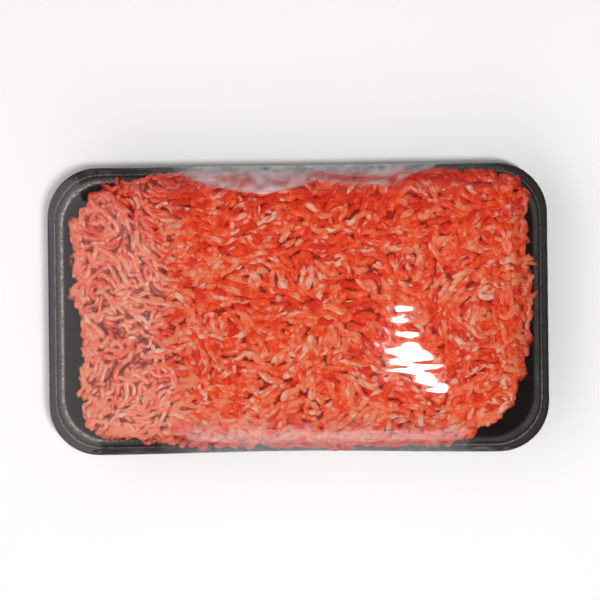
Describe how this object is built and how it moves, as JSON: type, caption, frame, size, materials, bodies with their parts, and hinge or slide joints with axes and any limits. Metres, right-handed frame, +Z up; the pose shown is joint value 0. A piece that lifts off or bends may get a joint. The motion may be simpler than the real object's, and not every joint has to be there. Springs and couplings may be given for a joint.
{
  "type": "minced beef tray pack",
  "caption": "Oblong round-cornered foam tray heaped with minced beef and overwrapped in taut clear stretch film.",
  "frame": {"origin": "centre of the pack's bounding box in X and Y, at its underside, where it stands", "axes": "+X along the tray's long sides, +Y across it towards the back long side, +Z up through the film's crown"},
  "size_m": [0.2256, 0.1306, 0.0404],
  "materials": {
    "black_foam": "satin skin of expanded polystyrene",
    "minced_beef": "moist",
    "stretch_film": "clear and glossy"
  },
  "bodies": {
    "root": {"tray": "black_foam", "mince": "minced_beef", "film": "stretch_film"}
  },
  "joints": []
}
